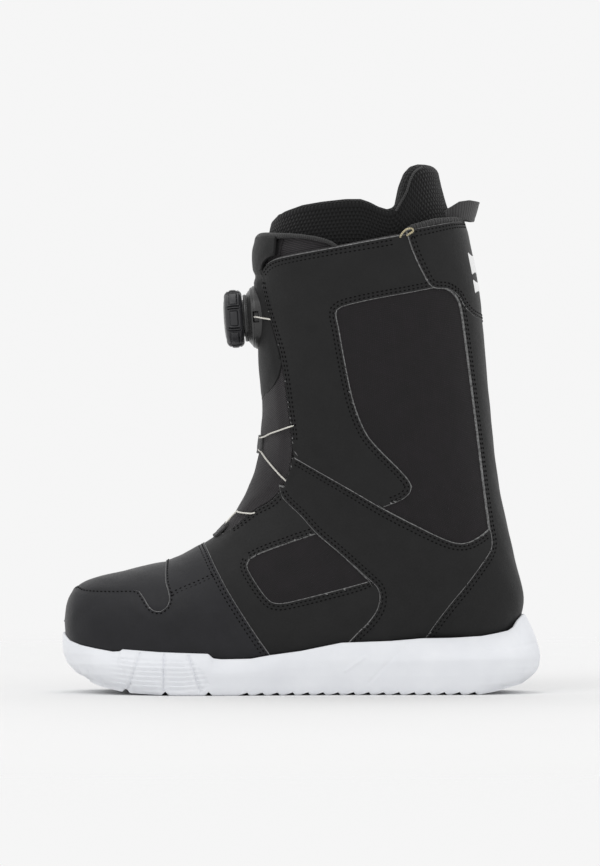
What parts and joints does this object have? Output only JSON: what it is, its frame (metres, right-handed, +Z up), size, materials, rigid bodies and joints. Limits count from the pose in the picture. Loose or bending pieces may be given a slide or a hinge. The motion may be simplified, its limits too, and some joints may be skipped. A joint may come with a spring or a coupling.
{
  "type": "snowboard boot",
  "caption": "Tall padded snowboard boot, left foot, with a hinged tongue, a turn-and-pull lacing dial, a cable lace, a removable-style liner and a cupped rubber sole.",
  "frame": {"origin": "centre of the boot's footprint on the ground", "axes": "+Z up the leg, -X towards the toe, -Y towards the wearer's left (the boot's outer side)"},
  "size_m": [0.3053, 0.117, 0.3386],
  "materials": {
    "shell_leather": "matt coated synthetic leather",
    "ripstop": "fine ripstop weave",
    "lining_textile": "brushed knit",
    "liner_mesh": "honeycomb spacer mesh",
    "foam": "matt foam",
    "board": "fibre board",
    "webbing": "ribbed webbing",
    "white_rubber": "matt moulded rubber",
    "dial_plastic": "satin moulded nylon",
    "dial_grip": "soft-touch grip",
    "shank_plastic": "moulded nylon",
    "steel_lace": "coated wire cable",
    "screw_steel": "plain steel",
    "white_print": "printed transfer"
  },
  "bodies": {
    "boot": {"toe_cap": "shell_leather", "toe_top": "shell_leather", "vamp_strap": "shell_leather", "quarter_left": "shell_leather", "quarter_right": "shell_leather", "ankle_panel_left": "shell_leather", "ankle_panel_right": "shell_leather", "cuff_panel_left": "shell_leather", "cuff_panel_right": "shell_leather", "heel_counter": "shell_leather", "rear_cuff": "shell_leather", "quarter_window_left": "ripstop", "quarter_window_right": "ripstop", "shaft_window_left": "ripstop", "shaft_window_right": "ripstop", "tongue_lower": "ripstop", "lining_foot": "lining_textile", "lining_shaft": "lining_textile", "liner_foot": "liner_mesh", "liner_cuff": "liner_mesh", "liner_tongue": "liner_mesh", "footbed": "foam", "midsole": "foam", "heel_cushion": "foam", "lasting_board": "board", "vamp_lace_guide": "webbing", "collar_binding": "webbing", "loop_anchor_left": "webbing", "loop_anchor_right": "webbing", "outsole": "white_rubber", "shank": "shank_plastic", "lace_dial_left": "steel_lace", "lace_dial_right": "steel_lace", "lace_cuff_run_left": "steel_lace", "lace_cuff_run_right": "steel_lace", "lace_upper_left": "steel_lace", "lace_upper_right": "steel_lace", "lace_lower_left": "steel_lace", "lace_lower_right": "steel_lace", "lace_ankle_run_left": "steel_lace", "lace_ankle_run_right": "steel_lace", "lace_instep_left": "steel_lace", "lace_instep_right": "steel_lace", "heel_mark": "white_print"},
    "tongue": {"tongue_fabric": "ripstop", "tongue_bib": "shell_leather", "tongue_foam": "foam", "tongue_wing_left": "lining_textile", "tongue_wing_right": "lining_textile", "tongue_lace_guide": "webbing", "dial_base": "dial_plastic", "axle_screw": "screw_steel"},
    "drive": {"drive_disc": "dial_plastic", "spool": "dial_plastic"},
    "dial": {"dial_knob": "dial_plastic", "knob_grip": "dial_grip"},
    "pull_loop": {"pull_loop": "webbing"}
  },
  "joints": [
    {"name": "tongue_open", "type": "hinge", "parent": "boot", "child": "tongue", "pos_m": [-0.03, 0, 0.143], "axis": [0, -1, 0], "range_deg": [0, 20], "deforming": ["lace_dial_left", "lace_dial_right", "lace_upper_left", "lace_upper_right", "lace_lower_left", "lace_lower_right", "tongue_wing_left", "tongue_wing_right"]},
    {"name": "dial_turn", "type": "hinge", "parent": "tongue", "child": "drive", "pos_m": [-0.0284, 0, 0.2398], "axis": [-0.9976, 0, -0.0698], "continuous": true},
    {"name": "dial_pull", "type": "slide", "parent": "drive", "child": "dial", "axis": [-0.9976, 0, -0.0698], "range_m": [0, 0.0035]},
    {"name": "pull_loop_swing", "type": "hinge", "parent": "boot", "child": "pull_loop", "pos_m": [0.0955, 0, 0.3062], "axis": [0, -1, 0], "range_deg": [0, 35]}
  ]
}
